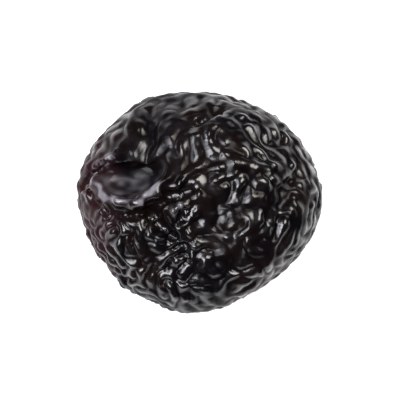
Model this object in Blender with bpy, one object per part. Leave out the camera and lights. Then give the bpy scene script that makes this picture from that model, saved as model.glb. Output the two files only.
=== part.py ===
"""A dried sweet cherry lying on its broad side, made as one solid.

The fruit was round, and its flesh has shrunk away under the skin. The skin has sunk in at the stalk end,
folded along a few long creases that start there, and gathered into short ridges all over.
X runs along the fruit's longest way, Y across it and Z up. The origin is at the middle of its base.
"""

import math

import bmesh
import bpy
import numpy as np
from mathutils import Vector, noise

MM = 0.001

# Driving dimensions of the shrunken fruit, its flat spot and the curve of the belly beside that
LENGTH = 20.2 * MM
CROWN_RISE = 6.6 * MM
BELLY_DROP = 5.6 * MM
FLAT_DEPTH = 0.16 * MM
FLAT_REACH = 2.9 * MM
BELLY_CURVE = 9.0 * MM

# Lobes of the outline seen from above: how many, share of the radius, and where the first one points
PLAN_LOBES = ((2, 0.041, 5.0), (3, 0.027, 22.0), (4, 0.011, 16.0), (5, 0.017, -24.0))
CROWN_FULLNESS = 2.15
BELLY_FULLNESS = 2.3

# The sunken stalk end: its middle seen from above, half sizes, turn, depth, unevenness and the lip round it.
# The wall, the lip and the calm skin are placed by how many half sizes they are from its middle.
STALK_PLACE = (-5.3 * MM, 0.85 * MM)
STALK_HALF_SIZE = (2.25 * MM, 2.05 * MM)
STALK_TURN = math.radians(-5)
STALK_DEPTH = 1.55 * MM
STALK_WALL = (0.3, 1.1)
STALK_REACH_DOWN = 4.0 * MM
STALK_UNEVEN = 0.22
UNEVEN_SPACING = 2.6 * MM
LIP_HEIGHT = 0.20 * MM
LIP_PLACE = 1.2
LIP_BREADTH = 0.19
CALM_SKIN = (0.7, 1.6)
CALM_RIDGES = 0.2

# Long creases: places that each passes seen from above, depth, half width, and True on the crown
CREASES = (
    (((-7.1, 1.9), (-8.7, 1.2), (-10.0, 0.2)), 0.70, 0.50, True),
    (((-4.5, 2.3), (-3.9, 5.0), (-4.1, 8.9)), 0.75, 0.80, True),
    (((-4.3, -1.4), (-3.2, -3.0), (-1.2, -5.1), (-0.6, -7.5)), 0.80, 0.55, True),
    (((-3.0, -0.5), (-1.6, -1.0), (0.6, 0.5)), 0.50, 0.45, True),
    (((2.4, 7.0), (0.6, 5.6), (-1.3, 3.8)), 0.60, 0.65, True),
    (((9.6, 2.4), (6.9, 0.0), (5.6, -3.5)), 0.45, 0.80, True),
    (((-9.4, -2.2), (-6.4, -3.0), (-4.4, -4.4)), 0.70, 0.70, False),
    (((7.8, -4.6), (5.2, -2.0), (4.3, 1.2)), 0.80, 0.80, False),
    (((-1.2, 8.4), (-0.6, 5.8), (-2.6, 3.9)), 0.70, 0.75, False),
)
CREASE_STEPS = 14

# Beside a crease the skin closes in and stands up in two shoulders, placed in half widths from its line.
# A crease deepens over the first share of its length and dies away over the last.
SHOULDER_HEIGHT = 0.30
SHOULDER_PLACE = 2.1
SHOULDER_BREADTH = 0.95
PINCH = 0.35
PINCH_PLACE = 1.3
PINCH_BREADTH = 0.71
DEEPENING = (-0.05, 0.28)
BESIDE_GROWING = (0.0, 0.3)
DYING_AWAY = (0.65, 1.0)

# Swellings and hollows of the shrunken flesh, with finer ones in them, flatter on the belly and the outline
SWELLING_SIZE = 1.0 * MM
SWELLING_SPACING = 6.5 * MM
FINER_SIZE = 0.45
FINER_SPACING = 3.1 * MM
BELLY_FLATTER = 0.6
OUTLINE_FLATTER = 0.5

# Ridges that the skin gathers into. They leave the stalk end like spokes, and farther out they ring it.
RIDGE_SPACING = 1.30 * MM
RIDGE_HEIGHT = 0.22 * MM
RIDGE_MIDDLE = 0.6
RIDGE_ROUNDNESS = 1.6
RIDGE_SEED = 11.0
RIDGE_STRETCH = 3.0
RIDGE_ROUNDS = 5
RIDGE_CONTRAST = 1.2
SEED_FINENESS = 2.3
NEAR_BLUR = 0.16
FAR_BLUR = 0.28
SPOKES_END = 3.5 * MM
RINGS_START = 9.0 * MM
WANDER_SPACING = 5.0 * MM
WANDER = 2.6
SKIN_SOFTNESS = 0.08 * MM

SKIN_COLOUR = (0.012, 0.007, 0.010, 1.0)
SKIN_ROUGHNESS = 0.34
BALL_DIVISIONS = 7
SOLID_TRIANGLES = 11800
FLAT_TOLERANCE = 0.02 * MM
SHORTEST_EDGE = 0.004 * MM


def clear_scene():
    for old in list(bpy.data.objects):
        bpy.data.objects.remove(old, do_unlink=True)


def lengths(vectors):
    return np.linalg.norm(vectors, axis=1)


def smooth_step(low, high, values):
    share = np.clip((values - low) / (high - low), 0, 1)
    return share * share * (3 - 2 * share)


def hump(values, place, breadth):
    return np.exp(-(((values - place) / breadth) ** 2))


def read(items, name, width, kind):
    values = np.empty(len(items) * width, kind)
    items.foreach_get(name, values)
    return values.reshape(-1, width)


class Skin:
    """The skin's points, the edges that join them and its faces."""

    def __init__(self, mesh):
        mesh.calc_loop_triangles()
        self.mesh = mesh
        self.points = read(mesh.vertices, "co", 3, np.float32).astype(float)
        self.edges = read(mesh.edges, "vertices", 2, np.int32)
        self.faces = read(mesh.loop_triangles, "vertices", 3, np.int32)

    def normals(self):
        first, second, third = (self.points[self.faces[:, i]] for i in range(3))
        turns = np.cross(second - first, third - first)
        total = np.zeros_like(self.points)
        for corner in range(3):
            for axis in range(3):
                total[:, axis] += np.bincount(self.faces[:, corner], turns[:, axis], len(total))
        return total / lengths(total)[:, None]

    def push(self, heights):
        self.points += self.normals() * heights[:, None]

    def links(self, grain=None, stretch=0.0):
        """Each edge's pull on what spreads over the skin, stronger along the grain, and a safe step."""
        start, end = self.edges.T
        way = self.points[start] - self.points[end]
        length = lengths(way)
        weight = 1 / length**2
        if grain is not None:
            along = np.einsum("ij,ij->i", way, grain[start]) / length
            weight *= (1 + stretch * along**2) / (1 + stretch / 2)
        pull = np.bincount(start, weight, len(self.points)) + np.bincount(end, weight, len(self.points))
        return start, end, weight, 0.9 / pull.max()

    def spread(self, field, width, links):
        """The field blurred over the skin to the given width."""
        start, end, weight, step = links
        for _ in range(max(1, round(width**2 / (3 * step)))):
            flow = weight * (field[start] - field[end])
            change = np.bincount(end, flow, len(field)) - np.bincount(start, flow, len(field))
            field = field + step * change
        return field

    def relax(self, width):
        links = self.links()
        self.points = np.stack([self.spread(axis, width, links) for axis in self.points.T], 1)

    def store(self):
        self.mesh.vertices.foreach_set("co", self.points.astype(np.float32).ravel())
        self.mesh.update()


def plan_radius(angle):
    """How far the outline stands from the middle, seen from above."""
    mean = LENGTH / (2 * (1 + PLAN_LOBES[0][1]))
    lobes = (share * np.cos(count * (angle - math.radians(turn))) for count, share, turn in PLAN_LOBES)
    return mean * (1 + sum(lobes))


def plump_shape(directions):
    """The fruit before it creased: a ball pressed to its outline, crown and belly."""
    across = np.hypot(directions[:, 0], directions[:, 1])
    radius = plan_radius(np.arctan2(directions[:, 1], directions[:, 0]))
    upper = directions[:, 2] > 0
    rise = np.where(upper, CROWN_RISE, BELLY_DROP)
    fullness = np.where(upper, CROWN_FULLNESS, BELLY_FULLNESS)
    reach = ((across / radius) ** fullness + (np.abs(directions[:, 2]) / rise) ** fullness) ** (-1 / fullness)
    return directions * reach[:, None]


def on_skin(place, crown):
    """The point of the plump shape over or under a place seen from above."""
    x, y = place
    rise, fullness = (CROWN_RISE, CROWN_FULLNESS) if crown else (-BELLY_DROP, BELLY_FULLNESS)
    share = min(0.999, math.hypot(x, y) / float(plan_radius(math.atan2(y, x))))
    return np.array((x, y, rise * (1 - share**fullness) ** (1 / fullness)))


def crease_line(places, crown):
    """Points close together on the plump shape along a smooth line through the places."""
    knots = [Vector((x * MM, y * MM)) for x, y in places]
    knots = [2 * knots[0] - knots[1], *knots, 2 * knots[-1] - knots[-2]]
    line = []
    for before, start, end, after in zip(knots, knots[1:], knots[2:], knots[3:]):
        square = 2 * before - 5 * start + 4 * end - after
        cube = 3 * start - before - 3 * end + after
        for t in np.linspace(0, 1, CREASE_STEPS):
            line.append(on_skin(start + ((end - before) * t + square * t**2 + cube * t**3) / 2, crown))
    return np.array(line)


def nearest(points, line):
    """Each point's distance to a line, the way there and how far along the line it is, from 0 to 1."""
    gaps = np.stack([lengths(points - spot) for spot in line], 1)
    place = gaps.argmin(1)
    return gaps.min(1), line[place] - points, place / (len(line) - 1)


def fold_long_creases(skin):
    """Each crease sinks along its line, and the skin beside it closes in and stands up in two shoulders."""
    for places, depth, half_width, crown in CREASES:
        gap, way, along = nearest(skin.points, crease_line(places, crown))
        share = gap / (half_width * MM)
        ends = (1 - smooth_step(*DYING_AWAY, along)) * smooth_step(*DEEPENING, along)
        beside = ends * smooth_step(*BESIDE_GROWING, along)
        shoulders = SHOULDER_HEIGHT * beside * hump(share, SHOULDER_PLACE, SHOULDER_BREADTH)
        skin.push(depth * MM * (shoulders - ends * hump(share, 0, 1)))
        closing = PINCH * half_width * MM * beside * hump(share, PINCH_PLACE, PINCH_BREADTH)
        skin.points += way / np.maximum(gap, 1e-9)[:, None] * closing[:, None]


def sink_stalk_end(skin):
    """The hollow where the stalk stood, inside a lip. Returns how far out of it points are, 1 on its edge."""
    middle = on_skin(STALK_PLACE, True)
    outward = middle / np.linalg.norm(middle)
    right = np.cross((0.0, 1.0, 0.0), outward)
    right = right / np.linalg.norm(right)
    upward = np.cross(outward, right)
    offset = skin.points - middle
    along, across = offset @ right, offset @ upward
    turned = along * math.cos(STALK_TURN) + across * math.sin(STALK_TURN)
    crossed = across * math.cos(STALK_TURN) - along * math.sin(STALK_TURN)
    share = np.hypot(turned / STALK_HALF_SIZE[0], crossed / STALK_HALF_SIZE[1])
    uneven = np.array([noise.noise(Vector(p) / UNEVEN_SPACING) for p in skin.points])
    share *= 1 + STALK_UNEVEN * uneven
    share[offset @ outward < -STALK_REACH_DOWN] = np.inf
    bowl = 1 - smooth_step(*STALK_WALL, share)
    skin.points -= outward * (STALK_DEPTH * bowl)[:, None]
    skin.push(LIP_HEIGHT * hump(share, LIP_PLACE, LIP_BREADTH))
    return share


def grain_of(skin):
    """The way that ridges run: out from the stalk end near it, round it farther off, with some wandering."""
    normals = skin.normals()
    offset = skin.points - on_skin(STALK_PLACE, True)
    spokes = offset - normals * np.einsum("ij,ij->i", offset, normals)[:, None]
    spokes /= np.maximum(lengths(spokes), 1e-9)[:, None]
    rings = np.cross(normals, spokes)
    apart = Vector((7.1, 2.2, 5.3))
    wander = np.array([noise.noise(Vector(p) / WANDER_SPACING + apart) for p in skin.points])
    turn = math.pi / 2 * smooth_step(SPOKES_END, RINGS_START, lengths(offset)) + WANDER * wander
    return spokes * np.cos(turn)[:, None] + rings * np.sin(turn)[:, None]


def gathered(skin, grain):
    """Ridges along the grain that grow out of fine unevenness: 1 on a crest and -1 in a furrow."""
    links = skin.links(grain, RIDGE_STRETCH)
    seed = Vector((1, 2, 3)) * RIDGE_SEED
    field = np.array([noise.noise(Vector(p) * SEED_FINENESS / RIDGE_SPACING + seed) for p in skin.points])
    for _ in range(RIDGE_ROUNDS):
        near = skin.spread(field, NEAR_BLUR * RIDGE_SPACING, links)
        field = near - skin.spread(near, FAR_BLUR * RIDGE_SPACING, links)
        field = np.tanh(RIDGE_CONTRAST * field / field.std())
    return field


def swell(skin):
    """Broad swellings and hollows, and finer ones inside them."""
    apart = Vector((4.2, 0.4, 1.7))
    broad = np.array([noise.noise(Vector(p) / SWELLING_SPACING + apart) for p in skin.points])
    finer = np.array([noise.noise(Vector(p) / FINER_SPACING) for p in skin.points])
    x, y, z = skin.points.T
    belly = 1 - BELLY_FLATTER * smooth_step(0.3 * BELLY_DROP, BELLY_DROP, -z)
    outline = 1 - OUTLINE_FLATTER * smooth_step(0.75, 1.0, np.hypot(x, y) / (LENGTH / 2))
    skin.push(SWELLING_SIZE * belly * outline * (broad + FINER_SIZE * finer))


def gather_skin(skin, hollow_share):
    """The ridges raised on the skin, low in the hollow and on its lip."""
    crest = 1 - (1 - (gathered(skin, grain_of(skin)) + 1) / 2) ** RIDGE_ROUNDNESS
    calm = CALM_RIDGES + (1 - CALM_RIDGES) * smooth_step(*CALM_SKIN, hollow_share)
    skin.push(RIDGE_HEIGHT * (crest - RIDGE_MIDDLE) * calm)


def stand_on_base(skin, flat_height):
    """The lowest part of the belly is pressed flat where the fruit lies, and curves up gently round that."""
    x, y, z = skin.points.T
    beyond = np.maximum(0, np.hypot(x, y) - FLAT_REACH)
    lowest = flat_height + beyond**2 / (2 * BELLY_CURVE)
    skin.points[:, 2] = np.where(z < 0, np.maximum(z, lowest), z)


def skin_material():
    material = bpy.data.materials.new("cherry_skin")
    material.use_nodes = True
    shader = material.node_tree.nodes["Principled BSDF"]
    shader.inputs["Base Color"].default_value = SKIN_COLOUR
    shader.inputs["Roughness"].default_value = SKIN_ROUGHNESS
    shader.inputs["Metallic"].default_value = 0.0
    return material


def lighten(fruit):
    """The finely divided skin joined into fewer, larger faces, which stay small where it bends most."""
    fruit.data.calc_loop_triangles()
    lightener = fruit.modifiers.new("fewer_faces", "DECIMATE")
    lightener.ratio = SOLID_TRIANGLES / len(fruit.data.loop_triangles)
    bpy.context.view_layer.update()
    graph = bpy.context.evaluated_depsgraph_get()
    lighter = bpy.data.meshes.new_from_object(fruit.evaluated_get(graph), depsgraph=graph)
    fruit.modifiers.clear()
    fruit.data = lighter


def settle(fruit, flat_height):
    """The base made truly flat again, and the fruit put with the middle of its base on the origin."""
    points = read(fruit.data.vertices, "co", 3, np.float32).astype(float)
    points[:, 2] -= flat_height
    points[points[:, 2] < FLAT_TOLERANCE, 2] = 0.0
    points[:, :2] -= (points[:, :2].min(0) + points[:, :2].max(0)) / 2
    fruit.data.vertices.foreach_set("co", points.astype(np.float32).ravel())
    form = bmesh.new()
    form.from_mesh(fruit.data)
    bmesh.ops.dissolve_degenerate(form, dist=SHORTEST_EDGE, edges=form.edges[:])
    bmesh.ops.triangulate(form, faces=form.faces[:])
    bmesh.ops.recalc_face_normals(form, faces=form.faces[:])
    form.to_mesh(fruit.data)
    form.free()


def dried_cherry(collection):
    bpy.ops.mesh.primitive_ico_sphere_add(subdivisions=BALL_DIVISIONS, radius=1)
    fruit = bpy.context.active_object
    fruit.name = "dried_cherry"
    for other in list(fruit.users_collection):
        other.objects.unlink(fruit)
    collection.objects.link(fruit)
    skin = Skin(fruit.data)
    skin.points = plump_shape(skin.points)
    swell(skin)
    fold_long_creases(skin)
    gather_skin(skin, sink_stalk_end(skin))
    skin.relax(SKIN_SOFTNESS)
    flat_height = FLAT_DEPTH - BELLY_DROP
    stand_on_base(skin, flat_height)
    skin.store()
    lighten(fruit)
    settle(fruit, flat_height)
    fruit.data.materials.clear()
    fruit.data.materials.append(skin_material())
    fruit.data.shade_smooth()


def main():
    clear_scene()
    collection = bpy.data.collections.new("dried_cherry")
    bpy.context.scene.collection.children.link(collection)
    dried_cherry(collection)


if __name__ == "__main__":
    main()
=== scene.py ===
# Dried sweet cherry on a pale table.
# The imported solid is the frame. The fruit is made again over it with its fine wrinkles and its skin.
import math
import time

import bmesh
import bpy
import numpy as np
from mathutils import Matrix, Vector, noise


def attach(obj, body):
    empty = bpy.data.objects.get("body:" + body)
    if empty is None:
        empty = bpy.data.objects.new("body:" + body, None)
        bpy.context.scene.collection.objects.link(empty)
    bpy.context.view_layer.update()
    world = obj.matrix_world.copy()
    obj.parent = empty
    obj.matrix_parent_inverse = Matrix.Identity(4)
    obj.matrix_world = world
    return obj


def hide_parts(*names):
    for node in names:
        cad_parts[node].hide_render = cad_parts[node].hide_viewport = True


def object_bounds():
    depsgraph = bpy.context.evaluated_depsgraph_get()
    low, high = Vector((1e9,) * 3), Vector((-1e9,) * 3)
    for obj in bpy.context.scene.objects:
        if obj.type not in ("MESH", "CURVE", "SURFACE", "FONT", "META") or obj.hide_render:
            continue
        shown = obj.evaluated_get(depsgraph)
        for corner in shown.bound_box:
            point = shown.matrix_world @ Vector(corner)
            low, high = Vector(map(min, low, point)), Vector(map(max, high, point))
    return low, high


started = time.time()
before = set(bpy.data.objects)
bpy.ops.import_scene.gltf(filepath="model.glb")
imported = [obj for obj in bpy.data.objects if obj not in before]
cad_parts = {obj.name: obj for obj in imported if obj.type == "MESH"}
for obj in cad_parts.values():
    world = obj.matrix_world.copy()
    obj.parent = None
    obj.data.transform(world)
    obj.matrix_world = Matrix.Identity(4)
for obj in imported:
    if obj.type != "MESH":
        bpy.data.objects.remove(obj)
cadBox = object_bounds()
mm = 0.001
tiny = 1e-12             # keeps a division from zero


def report(words):
    print(f"{time.time() - started:6.1f} s  {words}")


# Numbers over the skin

def smoothStep(low, high, values):
    share = np.clip((values - low) / (high - low), 0, 1)
    return share * share * (3 - 2 * share)


def hump(values, place, breadth):          # 1 at the place, dying away on both sides
    return np.exp(-(((values - place) / breadth) ** 2))


def lengths(vectors):
    return np.linalg.norm(vectors, axis=1)


def unit(vectors):
    return vectors / np.maximum(lengths(vectors), tiny)[:, None]


def noiseAt(points, spacing, seed):        # the same for a place whatever the order of the points
    shift = Vector((1.0, 2.0, 3.0)) * seed
    return np.array([noise.noise(Vector(p) / (spacing * mm) + shift) for p in points])


class Skin:                                # a mesh's points and edges as arrays
    shortest = 0.7                         # an edge counts as at least this share of the middle length
    steady = 0.9                           # share of the largest step at which a blur stays steady

    def __init__(self, mesh):
        self.mesh = mesh
        self.points = self.read(mesh.vertices, "co", 3, np.float32).astype(float)
        self.edges = self.read(mesh.edges, "vertices", 2, np.int32)

    def read(self, items, name, width, kind):
        values = np.empty(len(items) * width, kind)
        items.foreach_get(name, values)
        return values.reshape(-1, width)

    def store(self):
        self.mesh.vertices.foreach_set("co", self.points.astype(np.float32).ravel())
        self.mesh.update()

    def normals(self):
        self.store()
        return self.read(self.mesh.vertices, "normal", 3, np.float32).astype(float)

    def push(self, heights):
        self.points += self.normals() * heights[:, None]

    def links(self, grain=None, stretch=None):      # how well each edge carries a value, best along a grain
        start, end = self.edges.T
        way = self.points[start] - self.points[end]
        length = np.maximum(lengths(way), self.shortest * np.median(lengths(way)))
        weight = 1 / length**2
        if grain is not None:
            along = np.einsum("ij,ij->i", way, grain[start]) / length
            weight *= (1 + stretch[start] * along**2) / (1 + stretch[start] / 2)
        pull = np.bincount(start, weight, len(self.points)) + np.bincount(end, weight, len(self.points))
        return start, end, weight, self.steady / pull.max()

    def spread(self, field, width, links):          # blurs a value over the skin, by about the width
        start, end, weight, step = links
        for _ in range(max(1, round(width**2 / (3 * step)))):
            flow = weight * (field[start] - field[end])
            gain = np.bincount(end, flow, len(field)) - np.bincount(start, flow, len(field))
            field = field + step * gain
        return field

    def relax(self, width):
        links = self.links()
        self.points = np.stack([self.spread(axis, width, links) for axis in self.points.T], 1)

    def keep(self, name, values):                   # a value on the points that the skin's material reads
        layer = self.mesh.attributes.new(name, "FLOAT", "POINT")
        layer.data.foreach_set("value", values.astype(np.float32))


# The fruit. Lengths are in millimetres, and places are seen from above.
# A noise is its spacing and its seed, and a range is where a change starts and where it is done.

cherry = {
    "mergeWithin": 0.0005,                 # joins the solid's loose triangles
    "cell": 0.126,                         # remesh cell
    "facetBlur": 0.30,                     # softens the solid's facets
    "pressed": 0.03,                       # what is lower than this lies on the table
}


def copyOfNode(name):
    mesh = bpy.data.meshes.new("cherryFlesh")
    form = bmesh.new()
    form.from_mesh(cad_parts[name].data)
    bmesh.ops.remove_doubles(form, verts=form.verts[:], dist=cherry["mergeWithin"] * mm)
    form.to_mesh(mesh)
    form.free()
    return mesh


def evenMesh(mesh):                        # the same form in small even faces
    rough = bpy.data.objects.new("rough", mesh)
    bpy.context.scene.collection.objects.link(rough)
    remesh = rough.modifiers.new("even", "REMESH")
    remesh.mode = "VOXEL"
    remesh.voxel_size = cherry["cell"] * mm
    graph = bpy.context.evaluated_depsgraph_get()
    even = bpy.data.meshes.new_from_object(rough.evaluated_get(graph), depsgraph=graph)
    bpy.data.objects.remove(rough)
    bpy.data.meshes.remove(mesh)
    return even


def sitFlat(skin):                         # nothing is below the table, and the lowest crests lie flat on it
    z = skin.points[:, 2]
    skin.points[:, 2] = np.where(z < cherry["pressed"] * mm, 0.0, z)


# The hollow that the stalk left. Reach is how far out a point is from its middle: 1 on the hollow's edge.
# Lean is 1 on the side of the overhang and -1 opposite it.

stalkEnd = {
    "middle": (-5.41, 1.135, 11.17),
    "core": (-0.11, 0.285, 5.44),          # outward is away from here
    "halfSize": (2.25, 2.05),
    "turn": -5,                            # degrees
    "depth": 4,                            # the skin farther in than this is another side of the fruit
    "farReach": 9.0,                       # the reach that it gets
    "leastReach": 1e-6,
    "uneven": 0.22,                        # slow wandering of the edge, as a share of the reach
    "unevenNoise": (2.6, 0.0),
    "ragged": 0.16,                        # fine wandering
    "raggedNoise": (0.9, 21.0),
    "overhangSide": 108,                   # degrees from the right
    "overhangRange": (0.35, 0.95),         # of the lean
    "overhang": 0.95,
    "overhangAt": (1.05, 0.32),            # reach and breadth
    "belowRange": (0.15, -0.45),           # the lip and its groove are only on the lower side
    "lip": 0.36,
    "lipAt": (1.14, 0.20),
    "paleAt": (1.15, 0.075),               # pale line on the lip: partly dry skin, partly a painted highlight
    "groove": 0.36,
    "grooveAt": (1.60, 0.20),
    "edge": (0.95, 1.15),                  # of the reach
    "floorLean": (0.0, 0.7),               # the painted sheen on the floor ends under the overhang, as painted shade
    "floorReach": (0.1, 0.5),
    "shadeLean": (-0.2, 0.4),              # the pocket under the overhang has no gloss
    "shadeReach": (0.0, 0.3),
}


def fromStalkEnd(skin):                    # the reach, the way out from the middle, and inward as a vector
    middle = np.array(stalkEnd["middle"]) * mm
    core = np.array(stalkEnd["core"]) * mm
    halfLength, halfWidth = stalkEnd["halfSize"]
    outward = middle - core
    outward /= np.linalg.norm(outward)
    right = np.cross((0.0, 1.0, 0.0), outward)
    right /= np.linalg.norm(right)
    upward = np.cross(outward, right)
    offset = skin.points - middle
    turn = math.radians(stalkEnd["turn"])
    along, across = offset @ right, offset @ upward
    x = (along * math.cos(turn) + across * math.sin(turn)) / (halfLength * mm)
    y = (across * math.cos(turn) - along * math.sin(turn)) / (halfWidth * mm)
    roundReach = np.maximum(np.hypot(x, y), stalkEnd["leastReach"])
    x, y = x / roundReach, y / roundReach
    inward = -(right * x[:, None] + upward * y[:, None])
    reach = roundReach * (1 + stalkEnd["uneven"] * noiseAt(skin.points - core, *stalkEnd["unevenNoise"]))
    reach[offset @ outward < -stalkEnd["depth"] * mm] = stalkEnd["farReach"]
    return reach, x, y, inward


def shapeStalkEnd(skin):                   # a thin lip below with a pale line that is partly dry skin and partly painted highlight, a groove outside it, and an overhang above
    reach, x, y, inward = fromStalkEnd(skin)
    side = math.radians(stalkEnd["overhangSide"])
    lean = x * math.cos(side) + y * math.sin(side)
    above = smoothStep(*stalkEnd["overhangRange"], lean)
    below = smoothStep(*stalkEnd["belowRange"], y)
    reach = reach * (1 + stalkEnd["ragged"] * noiseAt(skin.points, *stalkEnd["raggedNoise"]))
    overhang = stalkEnd["overhang"] * mm * above * hump(reach, *stalkEnd["overhangAt"])
    skin.points += inward * overhang[:, None]
    lip = stalkEnd["lip"] * below * hump(reach, *stalkEnd["lipAt"])
    groove = stalkEnd["groove"] * below * hump(reach, *stalkEnd["grooveAt"])
    skin.push((lip - groove) * mm)
    inside = 1 - smoothStep(*stalkEnd["edge"], reach)
    # the floor's painted sheen, left out under the overhang where shade falls
    covered = smoothStep(*stalkEnd["floorLean"], lean) * smoothStep(*stalkEnd["floorReach"], reach)
    shade = smoothStep(*stalkEnd["shadeLean"], lean) * smoothStep(*stalkEnd["shadeReach"], reach)
    pale = below * hump(reach, *stalkEnd["paleAt"])
    return {"lip": pale, "floor": inside * (1 - covered), "shade": inside * shade}


# Sharp folds: places passed, height (below 0 for a crease) and half width

folds = (
    (((-7.2, 2.2), (-8.8, 1.5), (-10.1, 0.5)), -0.36, 0.26),
    (((-6.3, 3.2), (-7.8, 2.5), (-9.6, 1.5)), 0.28, 0.22),
    (((-4.4, -1.1), (-3.3, -2.7), (-1.3, -4.8), (-0.7, -7.2)), -0.36, 0.30),
    (((-3.1, -0.2), (-1.7, -0.7), (0.5, 0.8)), -0.25, 0.28),
    (((2.3, 7.3), (0.5, 5.9), (-1.4, 4.1)), -0.22, 0.36),
    (((-2.5, -2.1), (-1.7, -1.5), (-0.9, -0.8)), 0.26, 0.30),
    (((-2.0, -3.0), (-1.1, -2.2), (0.0, -1.1)), -0.34, 0.28),
)

foldLine = {
    "points": 12,                          # from one place to the next
    "start": (-0.02, 0.2),                 # range along the line in which the fold rises
    "end": (0.6, 1.0),                     # and in which it dies away
    "meander": 0.30,
    "meanderNoise": (1.3, 31.0),
}


def lineOver(skin, places):                # points on the upper skin along a smooth line through the places
    knots = [Vector((x * mm, y * mm)) for x, y in places]
    knots = [2 * knots[0] - knots[1], *knots, 2 * knots[-1] - knots[-2]]
    upper = skin.points[skin.normals()[:, 2] > 0]
    line = []
    for before, start, end, after in zip(knots, knots[1:], knots[2:], knots[3:]):
        square = 2 * before - 5 * start + 4 * end - after
        cube = 3 * start - before - 3 * end + after
        for t in np.linspace(0, 1, foldLine["points"]):
            spot = start + ((end - before) * t + square * t**2 + cube * t**3) / 2
            gap = np.hypot(upper[:, 0] - spot.x, upper[:, 1] - spot.y)
            line.append(upper[gap.argmin()])
    return np.array(line)


def foldSharply(skin):                     # returns where the raised folds are
    meander = foldLine["meander"] * noiseAt(skin.points, *foldLine["meanderNoise"])
    ridges = np.zeros(len(skin.points))
    for places, height, halfWidth in folds:
        line = lineOver(skin, places)
        gaps = np.stack([lengths(skin.points - spot) for spot in line], 1)
        along = gaps.argmin(1) / (len(line) - 1)
        ends = smoothStep(*foldLine["start"], along) * (1 - smoothStep(*foldLine["end"], along))
        fold = ends * hump(gaps.min(1) / mm + meander, 0, halfWidth)
        skin.push(height * mm * fold)
        if height > 0:
            ridges = np.maximum(ridges, fold)
    return ridges


# Wrinkles: long strokes, the breaks that cut them into dashes, and round nubs at the lower left.
# Soften is the blur of the finished wave, as a share of its spacing.

wrinkles = {
    "height": 0.42,
    "middleCrest": 0.5,                    # a crest of this much leaves the skin where it is
    "strokes": {"spacing": 2.80, "soften": 0.15, "seed": 3.0},
    "breaks": {"spacing": 3.20, "soften": 0.15, "seed": 8.0},
    "nubs": {"spacing": 1.95, "soften": 0.18, "seed": 12.0},
    "furrowRound": 0.10,
    "breakShare": 0.60,                    # how much the breaks lower a stroke
    "breakNubs": 0.5,                      # how much less they lower a nub
    "nubHeight": 1.15,
    "nubsFromRight": (1.5, -2.5),          # ranges of x and y
    "nubsFromTop": (-0.5, -3.0),
    "crown": (1.3, 0.4, 9.0),              # the strokes ring this place
    "spokesTo": (1.4, 2.4),                # but by the hollow they run out from it: range of the reach
    "wander": 1.0,                         # radians
    "wanderNoise": (5.5, 5.0),
    "stretch": 3.5,                        # how much better the strokes spread along the grain than across it
    "stretchVaries": 1.5,
    "stretchNoise": (3.0, 13.0),
    "stretchNubs": 0.9,                    # share of it that is lost where the nubs are
    "rise": 0.80,                          # wrinkles rise and fall along their way
    "riseVaries": 0.9,
    "riseNoise": (1.9, 17.0),
    "riseLimits": (0.25, 1.25),
    "calmMiddle": (-3.2, 6.0),             # the calmer skin above the middle
    "calmHalfSize": (5.6, 4.6),
    "calmFrom": (3.5, 6.5),                # range of the height
    "calmShare": 0.72,
    "hollowTo": (0.9, 1.6),                # the hollow is calmer too: range of the reach
    "hollowShare": 0.65,
}

wave = {
    "finer": 2.3,                          # it starts from a noise this much finer
    "near": 0.16,                          # blurs as shares of its spacing: what is finer than near goes,
    "far": 0.28,                           # and what is coarser than far
    "contrast": 1.2,
    "rounds": 4,
}


def grainOf(skin, reach):                  # spokes by the hollow, rings round the crown, and some wandering
    normals = skin.normals()

    def alongSkin(vectors):
        return unit(vectors - normals * np.einsum("ij,ij->i", vectors, normals)[:, None])

    rings = np.cross(normals, alongSkin(skin.points - np.array(wrinkles["crown"]) * mm))
    spokes = alongSkin(skin.points - np.array(stalkEnd["middle"]) * mm)
    spokes *= np.sign(np.einsum("ij,ij->i", spokes, rings))[:, None]
    nearHollow = 1 - smoothStep(*wrinkles["spokesTo"], reach)
    grain = unit(rings * (1 - nearHollow)[:, None] + spokes * nearHollow[:, None])
    across = np.cross(normals, grain)
    turn = wrinkles["wander"] * noiseAt(skin.points, *wrinkles["wanderNoise"])
    return grain * np.cos(turn)[:, None] + across * np.sin(turn)[:, None]


def gather(skin, grain, stretch, kind):    # a wave that runs along the grain, from -1 to 1
    links = skin.links(grain, stretch)
    spacing = kind["spacing"] * mm
    field = noiseAt(skin.points, kind["spacing"] / wave["finer"], kind["seed"])
    for _ in range(wave["rounds"]):
        near = skin.spread(field, wave["near"] * spacing, links)
        field = near - skin.spread(near, wave["far"] * spacing, links)
        field = np.tanh(wave["contrast"] * field / field.std())
    return skin.spread(field, kind["soften"] * spacing, links)


def calmSkin(skin):
    x, y, z = skin.points.T / mm
    middleX, middleY = wrinkles["calmMiddle"]
    halfX, halfY = wrinkles["calmHalfSize"]
    away = np.hypot((x - middleX) / halfX, (y - middleY) / halfY)
    return hump(away, 0, 1) * smoothStep(*wrinkles["calmFrom"], z)


def nubbySkin(skin):
    x, y, z = skin.points.T / mm
    return smoothStep(*wrinkles["nubsFromRight"], x) * smoothStep(*wrinkles["nubsFromTop"], y)


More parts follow.
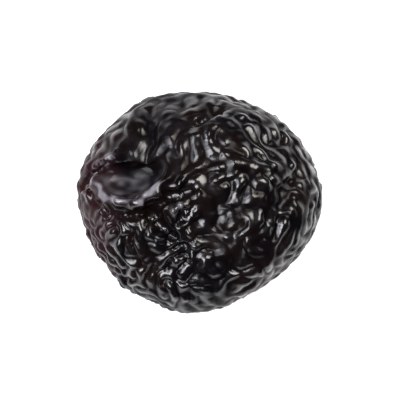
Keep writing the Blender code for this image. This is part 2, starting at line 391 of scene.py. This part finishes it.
def wrinkle(skin, reach, calm, nubby):     # returns the crests, and how the wrinkles rise and fall
    grain = grainOf(skin, reach)
    none = np.zeros(len(skin.points))
    varied = wrinkles["stretchVaries"] * noiseAt(skin.points, *wrinkles["stretchNoise"])
    stretch = wrinkles["stretch"] * (1 - wrinkles["stretchNubs"] * nubby) + varied
    strokes = gather(skin, grain, np.maximum(stretch, 0), wrinkles["strokes"])
    breaks = gather(skin, grain, none, wrinkles["breaks"])
    nubs = gather(skin, grain, none, wrinkles["nubs"])
    rise = wrinkles["rise"] + wrinkles["riseVaries"] * noiseAt(skin.points, *wrinkles["riseNoise"])
    crest = np.sqrt(strokes**2 + wrinkles["furrowRound"] ** 2)     # lowest where the wave changes sign
    crest += nubby * (wrinkles["nubHeight"] * np.abs(nubs) - crest)
    crest *= 1 - wrinkles["breakShare"] * (1 - np.abs(breaks)) * (1 - wrinkles["breakNubs"] * nubby)
    inHollow = 1 - smoothStep(*wrinkles["hollowTo"], reach)
    size = (1 - wrinkles["calmShare"] * calm) * (1 - wrinkles["hollowShare"] * inHollow)
    height = wrinkles["height"] * (crest - wrinkles["middleCrest"])
    height = height * np.clip(rise, *wrinkles["riseLimits"]) * size
    skin.push(height * mm)
    return crest, rise


# What the skin's material reads: where it is pale (partly dry skin, partly painted highlight and painted
# sheen), how glossy its crests are, and how calm it is

skinMarks = {
    "blotchNoise": (0.7, 41.0),
    # painted highlight on the raised folds, as a share of the lip's
    "ridgePale": 0.55,
    "pale": (0.70, 1.7),                   # painted highlight, partly dry skin, on the lip and the ridges: the middle, and how much it varies
    # painted sheen on the hollow floor: the middle, and how much it varies
    "paleFloor": (0.24, 0.30),
    "crestRange": (0.05, 0.45),
    "crestRise": (0.3, 1),                 # limits
    "flankRange": (0.05, 0.60),            # of the normal's z
    "flankDull": 0.75,
    "shadeDull": 0.9,
}


def markSkin(skin, crest, rise, flank, calm, ridges, hollow):
    blotches = noiseAt(skin.points, *skinMarks["blotchNoise"])
    pale = np.maximum(hollow["lip"], skinMarks["ridgePale"] * ridges)
    middle, varies = skinMarks["pale"]
    floorMiddle, floorVaries = skinMarks["paleFloor"]
    paleFloor = hollow["floor"] * (floorMiddle + floorVaries * blotches)
    gloss = smoothStep(*skinMarks["crestRange"], crest * np.clip(rise, *skinMarks["crestRise"]))
    dull = (1 - skinMarks["flankDull"] * flank) * (1 - skinMarks["shadeDull"] * hollow["shade"])
    # pale marks: painted highlight on the lip and raised folds, painted sheen on the hollow floor, partly dry
    # skin
    skin.keep("dryAndHighlight", np.maximum(pale * (middle + varies * blotches), paleFloor))
    skin.keep("crest", gloss * dull)
    skin.keep("calm", np.maximum(calm, hollow["floor"]))


def makeCherry():
    mesh = evenMesh(copyOfNode("dried_cherry"))
    mesh.name = "cherryFlesh"
    piece = bpy.data.objects.new("cherry_flesh", mesh)
    bpy.context.scene.collection.objects.link(piece)
    skin = Skin(mesh)
    report(f"even mesh of {len(mesh.polygons)} faces")
    skin.relax(cherry["facetBlur"] * mm)
    hollow = shapeStalkEnd(skin)
    ridges = foldSharply(skin)
    report("stalk end and folds")
    reach = fromStalkEnd(skin)[0]
    calm = calmSkin(skin)
    flank = 1 - smoothStep(*skinMarks["flankRange"], skin.normals()[:, 2])
    crest, rise = wrinkle(skin, reach, calm, nubbySkin(skin))
    markSkin(skin, crest, rise, flank, calm, ridges, hollow)
    sitFlat(skin)
    skin.store()
    mesh.shade_smooth()
    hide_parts("dried_cherry")
    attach(piece, "root")
    report("wrinkled skin")
    return piece


# Materials

class Wire:                                # a value in a material: sums on it add Math nodes
    def __init__(self, paint, socket):
        self.paint = paint
        self.socket = socket

    def math(self, operation, first, second):
        return self.paint.node("Math", {"operation": operation}, {0: first, 1: second})

    def __add__(self, other):
        return self.math("ADD", self, other)

    def __sub__(self, other):
        return self.math("SUBTRACT", self, other)

    def __rsub__(self, other):
        return self.math("SUBTRACT", other, self)

    def __mul__(self, other):
        return self.math("MULTIPLY", self, other)

    __radd__ = __add__
    __rmul__ = __mul__


class Paint:                               # a material and its nodes
    def __init__(self, name):
        self.material = bpy.data.materials.new(name)
        self.material.use_nodes = True
        self.tree = self.material.node_tree
        self.shader = self.tree.nodes["Principled BSDF"]

    def node(self, kind, settings, sockets, out=0):
        made = self.tree.nodes.new("ShaderNode" + kind)
        for name, value in settings.items():
            setattr(made, name, value)
        for name, value in sockets.items():
            self.feed(made.inputs[name], value)
        return Wire(self, made.outputs[out])

    def feed(self, socket, value):
        if isinstance(value, Wire):
            self.tree.links.new(value.socket, socket)
        else:
            socket.default_value = value

    def finish(self, sockets):
        for name, value in sockets.items():
            self.feed(self.shader.inputs[name], value)
        return self.material

    def place(self):
        return self.node("TexCoord", {}, {}, "Object")

    def noise(self, spacing, detail=2.0, warp=0.0):
        values = {"Vector": self.place(), "Scale": 1 / (spacing * mm), "Detail": detail, "Distortion": warp}
        return self.node("TexNoise", {}, values, "Fac")

    def ramp(self, value, low, high):      # 0 to 1 as the value goes from low to high
        values = {"Value": value, "From Min": low, "From Max": high}
        return self.node("MapRange", {"interpolation_type": "SMOOTHSTEP"}, values)

    def mix(self, share, first, second):   # colours
        return self.node("Mix", {"data_type": "RGBA"}, {0: share, 6: first, 7: second}, 2)

    def attribute(self, name):
        return self.node("Attribute", {"attribute_name": name}, {}, "Fac")


# A noise here is its spacing in millimetres, its detail and its warp

skinLook = {
    "black": (0.0014, 0.0010, 0.0014, 1),
    "brown": (0.0040, 0.0021, 0.0020, 1),
    "brownNoise": (3.5,),
    "brownRange": (0.42, 0.62),
    "red": (0.0205, 0.0070, 0.0082, 1),    # at the left edge: painted light, the reddish glow of light through the thin edge
    "redShare": 0.8,
    "redFrom": 7.3,                        # to the left of the middle
    "redTo": 10.2,
    "redWander": 3.0,
    "redNoise": (2.2,),
    # bluish-grey colour: partly the skin's dusty bloom, partly painted sheen
    "bloomAndSheen": (0.0060, 0.0054, 0.0074, 1),
    "bloomAndSheenNoise": (1.1, 4.0),
    "bloomAndSheenRange": (0.40, 0.72),
    "bloomAndSheenShare": 0.15,
    "bloomAndSheenCalm": 0.7,                      # more of it on the calm top, where the painted sheen is
    # pale colour: partly dry skin, mostly painted highlight on the lip and ridges and painted sheen on the
    # hollow floor
    "dryAndHighlight": (0.1300, 0.1215, 0.1370, 1),
    "rough": 0.24,
    "roughVaries": 0.16,
    "roughNoise": (0.5, 3.0),
    "roughCalm": 0.12,
    "crumpleNoise": (0.34, 3.0, 0.6),
    "poreNoise": (0.12, 2.0),
    "poreShare": 0.25,
    "bumpStrength": 0.8,
    "bumpHeight": 0.005,
    "coatFurrow": 0.1,                     # nearly all the gloss is the coat's
    "coatCrest": 0.9,                      # added on a crest
    "coatLostCalm": 0.45,
    "coatLostRed": 0.40,
    "coatRough": 0.22,
    "gloss": 0.01,                         # under the coat
}


def cherrySkin():
    paint = Paint("cherry_skin")
    look = skinLook
    crest = paint.attribute("crest")
    calm = paint.attribute("calm")
    brown = paint.ramp(paint.noise(*look["brownNoise"]), *look["brownRange"])
    colour = paint.mix(brown, look["black"], look["brown"])
    # painted light: a reddish glow of light through the thin left edge
    x = paint.node("SeparateXYZ", {}, {0: paint.place()})
    toTheLeft = x * -1 + paint.noise(*look["redNoise"]) * (look["redWander"] * mm)
    red = paint.ramp(toTheLeft, look["redFrom"] * mm, look["redTo"] * mm)
    colour = paint.mix(red * look["redShare"], colour, look["red"])
    # partly bloom, partly painted sheen, strongest on the calm top
    bloomAndSheen = paint.ramp(paint.noise(*look["bloomAndSheenNoise"]), *look["bloomAndSheenRange"])
    colour = paint.mix(bloomAndSheen * (calm * look["bloomAndSheenCalm"] + look["bloomAndSheenShare"]), colour, look["bloomAndSheen"])
    # painted highlight and painted sheen: the pale colour on the lip, the raised folds and the hollow floor
    colour = paint.mix(paint.ramp(paint.attribute("dryAndHighlight"), 0.0, 1.0), colour, look["dryAndHighlight"])
    rough = paint.noise(*look["roughNoise"]) * look["roughVaries"] + calm * look["roughCalm"] + look["rough"]
    relief = paint.noise(*look["crumpleNoise"]) + paint.noise(*look["poreNoise"]) * look["poreShare"]
    bump = {"Strength": look["bumpStrength"], "Distance": look["bumpHeight"] * mm, "Height": relief}
    coat = crest * look["coatCrest"] + look["coatFurrow"]
    coat = coat * (1 - calm * look["coatLostCalm"]) * (1 - red * look["coatLostRed"])
    return paint.finish({
        "Base Color": colour,
        "Roughness": rough,
        "Normal": paint.node("Bump", {}, bump),
        "Coat Weight": coat,
        "Coat Roughness": look["coatRough"],
        "Specular IOR Level": look["gloss"],
    })


# Stage

stage = {
    "tableSize": 6.0,                      # metres
    "tableColour": (0.93, 0.93, 0.935, 1),
    "tableGrey": (0.90, 0.90, 0.905, 1),
    "greyNoise": (2.0, 3.0),
    "greyShare": 0.1,
    "tableRough": 0.7,
    "tableGlow": 0.20,
    "sky": (0.93, 0.94, 1.0, 1),
    "skyStrength": 0.05,
    "lampDistance": 1.0,                   # metres
    "elevation": 80,                       # of the camera
    "lens": 85,
    "fills": 0.62,                         # about the share of the picture's width that the fruit takes
}

lamps = (
    # name, azimuth from the picture's right towards its top, elevation, side in metres, watts, colour
    ("keyLamp", 38, 57, 0.48, 11.4, (1.0, 0.97, 0.92)),
    ("leftLamp", 155, 52, 0.36, 3.9, (0.90, 0.90, 1.0)),
    ("frontLamp", 207, 60, 0.52, 14.5, (0.95, 0.95, 1.0)),
)


def aim(item, target, azimuth, elevation, distance):
    a, e = math.radians(azimuth), math.radians(elevation)
    away = Vector((math.cos(a) * math.cos(e), math.sin(a) * math.cos(e), math.sin(e)))
    item.location = target + away * distance
    item.rotation_euler = (-away).to_track_quat("-Z", "Y").to_euler()


def tableWhite():
    paint = Paint("table_white")
    grey = paint.noise(*stage["greyNoise"]) * stage["greyShare"]
    return paint.finish({
        "Base Color": paint.mix(grey, stage["tableColour"], stage["tableGrey"]),
        "Roughness": stage["tableRough"],
        "Emission Color": (1, 1, 1, 1),
        "Emission Strength": stage["tableGlow"],
    })


def makeTable():
    form = bmesh.new()
    bmesh.ops.create_grid(form, x_segments=1, y_segments=1, size=stage["tableSize"] / 2)
    mesh = bpy.data.meshes.new("table")
    form.to_mesh(mesh)
    form.free()
    table = bpy.data.objects.new("table", mesh)
    bpy.context.scene.collection.objects.link(table)
    mesh.materials.append(tableWhite())


def makeLight(target):
    world = bpy.data.worlds.new("studio")
    world.use_nodes = True
    sky = world.node_tree.nodes["Background"]
    sky.inputs["Color"].default_value = stage["sky"]
    sky.inputs["Strength"].default_value = stage["skyStrength"]
    bpy.context.scene.world = world
    for name, azimuth, elevation, side, watts, colour in lamps:
        light = bpy.data.lights.new(name, "AREA")
        light.size = side
        light.energy = watts
        light.color = colour
        lamp = bpy.data.objects.new(name, light)
        bpy.context.scene.collection.objects.link(lamp)
        aim(lamp, target, azimuth, elevation, stage["lampDistance"])


def makeCamera(target, fruitWidth):
    lens = bpy.data.cameras.new("camera")
    lens.lens = stage["lens"]
    lens.clip_start = mm
    camera = bpy.data.objects.new("camera", lens)
    bpy.context.scene.collection.objects.link(camera)
    distance = fruitWidth / stage["fills"] * lens.lens / lens.sensor_width
    aim(camera, target, -90, stage["elevation"], distance)
    bpy.context.scene.camera = camera
    bpy.context.scene.view_settings.view_transform = "Standard"


fruit = makeCherry()
fruit.data.materials.clear()
fruit.data.materials.append(cherrySkin())
report("cherry skin")
low, high = cadBox
middle = (low + high) / 2
makeTable()
makeLight(middle)
makeCamera(middle, high.x - low.x)
report("table, lamps and camera")

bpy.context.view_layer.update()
report("sizes written")
